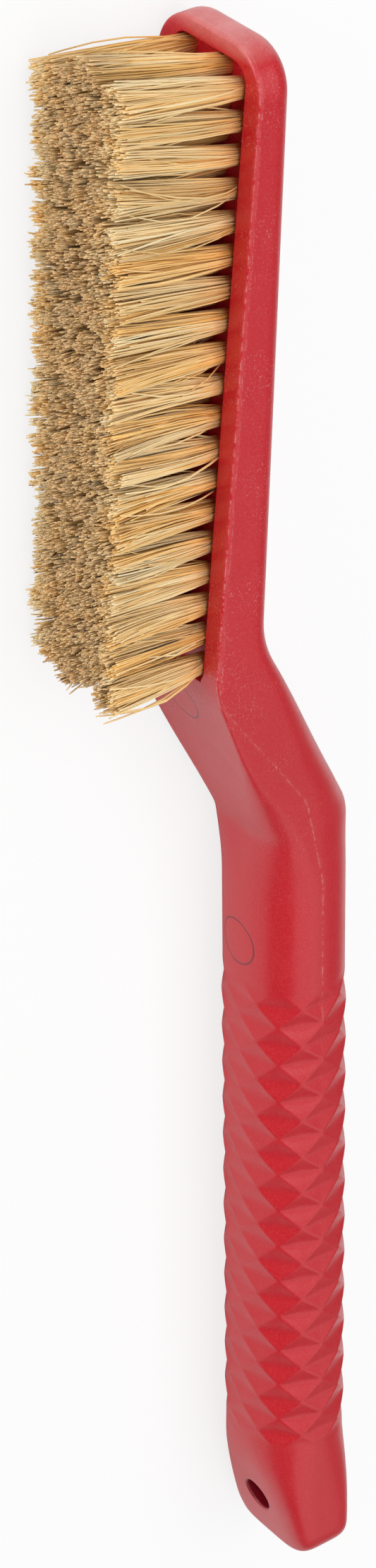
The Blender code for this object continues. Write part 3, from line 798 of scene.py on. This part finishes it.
def hair_colours(path, lock, chance, colours):
    """Colour of each point: pale to golden by the hair and its lock, with a few brown and black hairs.

    A colour is the hair's own times a painted shade, darker and warmer at the root, that lifts by a smooth
    step from the root. Towards the tip it eases to grey, the more the nearer the tip is to the brush's middle
    plane. There the cut ends are pale dots on sides darkened by painted shade.
    """
    count, locks = len(path), lock.max() + 1
    pick = chance.random((count, 1))
    pale, golden, brown, black, grey = (np.array(c[:3]) for c in (
        colours.hair_pale, colours.hair_golden, colours.hair_brown, colours.hair_black, colours.hair_ends_and_shade))
    by_hair, by_lock = chance.beta(*HAIR_MIX, (count, 1)), chance.beta(*LOCK_MIX, (locks, 1))[lock]
    mixed = pale + (golden - pale) * ((1.0 - LOCK_SHARE) * by_hair + LOCK_SHARE * by_lock)
    mixed = np.where(pick < BROWN_SHARE, brown + (golden - brown) * chance.random((count, 1)), mixed)
    mixed *= chance.uniform(*HAIR_TONES, (count, 1)) * chance.uniform(*LOCK_TONES, (locks, 1))[lock]
    mixed = np.where(pick > BLACK_FROM, black, mixed / np.maximum(mixed.max(axis=1, keepdims=True), 1.0))
    share = np.array(HAIR_STEPS)[None, :, None]
    at_cut = share == HAIR_STEPS[-1]
    # Painted shade: each hair is darker and warmer towards its root, where the hairs shade one another
    tone = mixed[:, None] * (PAINTED_ROOT_SHADE + ROOT_SHADE_LIFT * eased(share * ROOT_SHADE_RISE))
    inside = 1.0 - np.clip(np.abs(path[:, -1, 1]) / GREY_HALF_WIDTH, 0.0, 1.0) ** 3
    to_grey = eased((share - GREY_FROM) / GREY_RUN) * inside[:, None, None]
    to_grey = to_grey * np.where(pick > BLACK_FROM, 0.0, GREY_AT_END)[:, None]
    # Painted shade: near the tips the hairs' sides turn a darker grey than the pale cut ends, for the shade
    # between them
    to_grey = to_grey * np.where(at_cut, 1.0, PAINTED_SHADE_ON_SIDES)
    ends = (grey * chance.uniform(*END_TONES, (count, 1)))[:, None] * np.where(at_cut, CUT_TONE, 1.0)
    return np.clip(tone + (ends - tone) * to_grey, 0.0, 1.0)


def hair_surface(path, chance, sizes):
    """Tubes round the paths: polygons in planes along the face, thinner towards the tip and closed."""
    count, steps = path.shape[:2]
    turn = chance.uniform(0.0, 2 * math.pi, (count, 1, 1)) + np.arange(HAIR_SIDES) * 2 * math.pi / HAIR_SIDES
    thick = sizes.hair_radius * chance.uniform(*HAIR_THICKNESS, (count, 1)) * np.linspace(*HAIR_TAPER, steps)
    ring = np.stack([np.cos(turn) * thick[..., None], np.sin(turn) * thick[..., None],
                     np.zeros((count, steps, HAIR_SIDES))], -1)
    local = path[:, :, None, :] + ring
    lean_cos, lean_sin = math.cos(FACE_LEAN), math.sin(FACE_LEAN)
    along, across, height = local[..., 0], local[..., 1], local[..., 2]
    points = np.stack([-lean_cos * along - lean_sin * height,
                       -HEAD_OFFSET + lean_sin * along - lean_cos * height, across], -1) + SHIFT
    base = (np.arange(count) * steps * HAIR_SIDES)[:, None, None]
    walls = (base + tube_walls(steps, HAIR_SIDES)[None]).reshape(-1, 4)
    first, last = np.arange(HAIR_SIDES)[::-1], (steps - 1) * HAIR_SIDES + np.arange(HAIR_SIDES)
    ends = (base + np.stack([first, last])[None]).reshape(-1, HAIR_SIDES)
    return points.reshape(-1, 3), walls.tolist() + ends.tolist()


def metres(name, description, default):
    """A size property in metres."""
    return bpy.props.FloatProperty(name=name, description=description, default=default, min=0.0, precision=4,
                                   subtype="DISTANCE", unit="LENGTH")


def tint(name, description, default):
    """A colour property."""
    return bpy.props.FloatVectorProperty(name=name, description=description, default=(*default, 1.0), size=4,
                                         min=0.0, max=1.0, subtype="COLOR")


def watts(name, description, default):
    """A lamp's power property."""
    return bpy.props.FloatProperty(name=name, description=description, default=default, min=0.0, unit="POWER")


def part_of_one(name, description, default):
    """A property between 0 and 1."""
    return bpy.props.FloatProperty(name=name, description=description, default=default, min=0.0, max=1.0,
                                   subtype="FACTOR")


class MouldingSizes(bpy.types.PropertyGroup):
    """Sizes of the one-piece moulding."""
    head_length: metres("Head length", "From the lowest tuft to the head's tip", 87.3 * MM)
    head_width: metres("Head width", "Width of the head", 21.2 * MM)
    head_base_depth: metres("Head depth at its base", "Thickness of the head by the neck", 8.7 * MM)
    head_tip_depth: metres("Head depth at its tip", "Thickness of the head at its tip", 5.4 * MM)
    rim_width: metres("Rim width", "Width of the rim beside the bristles", 3.0 * MM)
    recess_depth: metres("Recess depth", "How deep the tufts' floor lies under the rim", 1.5 * MM)
    handle_width: metres("Handle width", "Width of the handle", 17.6 * MM)
    handle_depth: metres("Handle depth", "Depth of the handle", 15.3 * MM)
    flatness: part_of_one("Flat facets", "How far the grip is drawn onto the chords between its ridges", 0.85)
    hole_diameter: metres("Hanging hole", "Diameter of the hanging hole", 5.0 * MM)


class BristleSizes(bpy.types.PropertyGroup):
    """Sizes of the tufts and their hairs."""
    pitch: metres("Tuft pitch", "Distance between tufts along a column", 4.53 * MM)
    stagger: metres("Stagger", "How much further up every second column sits", 1.75 * MM)
    spacing: metres("Column spacing", "Distance between columns", 3.7 * MM)
    tuft_radius: metres("Tuft radius", "Radius of a tuft at its root", 1.3 * MM)
    length_at_base: metres("Length at the base", "Height of the tips over the rim by the neck", 15.5 * MM)
    length_at_tip: metres("Length at the tip", "Height of the tips over the rim at the head's end", 20.4 * MM)
    root_sink: metres("Root depth", "Depth of the roots under the rim", 2.0 * MM)
    hair_radius: metres("Hair radius", "Radius of a hair by its root", 0.125 * MM)
    hairs: bpy.props.IntProperty(name="Hairs in a tuft", description="Number of hairs in each tuft",
                                 default=250, min=10, max=600)
    stray_share: part_of_one("Strays", "Share of hairs that lean across others", 0.06)


class BrushColours(bpy.types.PropertyGroup):
    """Colours of the brush and its stage."""
    plastic: tint("Plastic", "Red of the moulding", (0.53, 0.003, 0.012))
    # Painted shade: the darker red put in the pins' rings and the hanging hole
    plastic_shade: tint("Deep plastic", "Red at the bottom of the pins' rings", (0.16, 0.002, 0.010))
    haze: tint("Haze", "Fine pale mottling of the plastic", (0.64, 0.045, 0.052))
    # Pale colour of the rubbed edges and specks, and also of the painted sheen on the head's tip
    scuff_and_sheen: tint("Scuff", "Rubbed edges and specks", (0.82, 0.36, 0.34))
    hair_pale: tint("Pale hair", "Lightest bristles", (1.0, 0.88, 0.57))
    hair_golden: tint("Golden hair", "Most bristles", (1.0, 0.60, 0.17))
    hair_brown: tint("Brown hair", "A few bristles", (0.42, 0.18, 0.05))
    hair_black: tint("Black hair", "Rare bristles", (0.025, 0.02, 0.02))
    # Grey of the ends in the brush's middle: pale on the cut ends, and painted shade on the hairs' sides
    # beside them
    hair_ends_and_shade: tint("Hair tips", "Cut ends in the middle of the brush", (0.45, 0.285, 0.14))
    floor: tint("Floor", "Pale floor", (0.93, 0.93, 0.93))


class StageSettings(bpy.types.PropertyGroup):
    """Light of the stage."""
    overhead: watts("Overhead light", "Power of the large soft light above the head", 12.5)
    back: watts("Back light", "Power of the dim light above the handle's end", 2.4)
    front: watts("Front light", "Power of the low light before the bristles", 5.0)
    ambient: part_of_one("Ambient", "Strength of the world's light", 0.3)
    whiten: part_of_one("Floor whitening", "How far the floor is lifted to white for the camera", 0.8)


class BRUSH_OT_moulding(bpy.types.Operator):
    """Make the one-piece moulding: head with rim and recess, neck, diamond grip and end with its hole"""
    bl_idname = "brush.moulding"
    bl_label = "Moulding"

    def execute(self, context):
        sizes = context.scene.brush_moulding
        places, points, values = moulding_surface(sizes)
        faces = loft_faces(places)
        count = len(places)
        ends = [list(range(RING))[::-1], list(range((count - 1) * RING, count * RING))]
        made = new_object("handle_moulding", points.reshape(-1, 3), faces.tolist() + ends,
                          red_plastic(context.scene.brush_colours))
        for name, value in values.items():
            point_values(made.data, name, value)
        outward(made.data)
        cutter = new_object("hole_cutter", *hole_surface(sizes), made.data.materials[0])
        outward(cutter.data)
        cut = made.modifiers.new("hanging_hole", "BOOLEAN")
        cut.operation, cut.solver, cut.object = "DIFFERENCE", "EXACT", cutter
        mesh = apply_modifiers(made)
        bpy.data.objects.remove(cutter, do_unlink=True)
        crease_edges(mesh)
        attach(made, "root")
        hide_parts("handle")
        return {"FINISHED"}


class BRUSH_OT_bristles(bpy.types.Operator):
    """Make the bristles: one piece for each pair of tufts, on staggered columns"""
    bl_idname = "brush.bristles"
    bl_label = "Bristles"

    def execute(self, context):
        sizes, colours = context.scene.brush_bristles, context.scene.brush_colours
        finish = boar_bristle()
        chance = np.random.default_rng(SEED)
        for side, first_column in (("a", 0), ("b", 2)):
            for row in range(ROWS):
                places = [tuft_place(first_column + i, row, sizes) for i in range(2)]
                path, lock = hair_paths(places, chance, sizes)
                points, faces = hair_surface(path, chance, sizes)
                made = new_object(f"bristles_{side}_{row + 1:02d}", points, faces, finish)
                tone = np.repeat(hair_colours(path, lock, chance, colours)[:, :, None, :], HAIR_SIDES, axis=2)
                tone = np.concatenate([tone.reshape(-1, 3), np.ones((len(points), 1))], axis=1)
                layer = made.data.attributes.new("hair_colour", "FLOAT_COLOR", "POINT")
                layer.data.foreach_set("color", tone.astype(np.float32).ravel())
                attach(made, "root")
                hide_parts(f"tuft_pair_{side}_{row + 1:02d}")
        return {"FINISHED"}


def area_light(name, place, size, power):
    """A soft rectangular lamp that faces the brush."""
    lamp = bpy.data.lights.new(name, "AREA")
    lamp.shape, lamp.size, lamp.size_y, lamp.energy = "RECTANGLE", size[0], size[1], power
    made = bpy.data.objects.new(name, lamp)
    bpy.context.scene.collection.objects.link(made)
    turn = (Vector() - Vector(place)).to_track_quat("-Z", "Y")
    made.matrix_world = Matrix.Translation(place) @ turn.to_matrix().to_4x4()


def show_white(tree, shader, amount):
    """Mixes white of strength 1 into what camera rays see of a shader, and leaves other rays alone."""
    path, white = tree.nodes.new("ShaderNodeLightPath"), tree.nodes.new("ShaderNodeEmission")
    factor, mix = tree.nodes.new("ShaderNodeMath"), tree.nodes.new("ShaderNodeMixShader")
    factor.operation, factor.inputs[1].default_value = "MULTIPLY", amount
    output = next(node for node in tree.nodes if node.type in ("OUTPUT_MATERIAL", "OUTPUT_WORLD"))
    tree.links.new(path.outputs["Is Camera Ray"], factor.inputs[0])
    tree.links.new(factor.outputs[0], mix.inputs[0])
    tree.links.new(shader.outputs[0], mix.inputs[1])
    tree.links.new(white.outputs[0], mix.inputs[2])
    tree.links.new(mix.outputs[0], output.inputs["Surface"])


class BRUSH_OT_stage(bpy.types.Operator):
    """Make the pale floor, the soft lights and the camera"""
    bl_idname = "brush.stage"
    bl_label = "Stage"

    def execute(self, context):
        scene, settings, colours = context.scene, context.scene.brush_stage, context.scene.brush_colours
        finish = Finish("pale_floor", roughness=0.9)
        finish.shader.inputs["Base Color"].default_value = colours.floor
        corners = np.array([(-1, -1, 0), (1, -1, 0), (1, 1, 0), (-1, 1, 0)]) * FLOOR_HALF
        floor = new_object("floor", corners - (0.0, 0.0, FLOOR_DROP), [[0, 1, 2, 3]], finish.material)
        show_white(finish.tree, finish.shader, settings.whiten)
        for name, (place, size) in LAMPS.items():
            area_light(name, place, size, getattr(settings, name))
        world = bpy.data.worlds.new("soft_room")
        world.use_nodes = True
        background = world.node_tree.nodes["Background"]
        background.inputs["Color"].default_value = (1.0, 1.0, 1.0, 1.0)
        background.inputs["Strength"].default_value = settings.ambient
        show_white(world.node_tree, background, 1.0)
        scene.world = world
        data = bpy.data.cameras.new("camera")
        data.sensor_width = SENSOR
        data.lens = FOCAL_SHARE * data.sensor_width
        data.clip_end = CLIP_END
        camera = bpy.data.objects.new("camera", data)
        scene.collection.objects.link(camera)
        turn = Matrix((RIGHT, UP, BACK)).transposed().to_4x4()
        camera.matrix_world = Matrix.Translation(Vector(EYE + SHIFT)) @ turn
        scene.camera = camera
        scene.view_settings.view_transform = "Standard"
        return {"FINISHED"}


class BRUSH_PT_panel(bpy.types.Panel):
    """Lists the brush's sizes, colours and steps"""
    bl_idname = "BRUSH_PT_panel"
    bl_label = "Climbing brush"
    bl_space_type = "VIEW_3D"
    bl_region_type = "UI"
    bl_category = "Brush"

    def draw(self, context):
        for group, operator in (("brush_moulding", "brush.moulding"), ("brush_bristles", "brush.bristles"),
                                ("brush_colours", None), ("brush_stage", "brush.stage")):
            box = self.layout.box()
            settings = getattr(context.scene, group)
            for name in settings.bl_rna.properties.keys():
                if name not in ("rna_type", "name"):
                    box.prop(settings, name)
            if operator:
                box.operator(operator)


CLASSES = (MouldingSizes, BristleSizes, BrushColours, StageSettings, BRUSH_OT_moulding, BRUSH_OT_bristles,
           BRUSH_OT_stage, BRUSH_PT_panel)
GROUPS = {"brush_moulding": MouldingSizes, "brush_bristles": BristleSizes, "brush_colours": BrushColours,
          "brush_stage": StageSettings}


def register():
    """Makes the classes known, and hangs the settings on the scene."""
    for item in CLASSES:
        bpy.utils.register_class(item)
    for name, group in GROUPS.items():
        setattr(bpy.types.Scene, name, bpy.props.PointerProperty(type=group))


def unregister():
    """Takes the settings off the scene, and the classes back in turn."""
    for name in GROUPS:
        delattr(bpy.types.Scene, name)
    for item in reversed(CLASSES):
        bpy.utils.unregister_class(item)


def main():
    """Builds the brush and its stage."""
    register()
    bpy.ops.brush.moulding()
    bpy.ops.brush.bristles()
    bpy.ops.brush.stage()


if __name__ == "__main__":
    main()
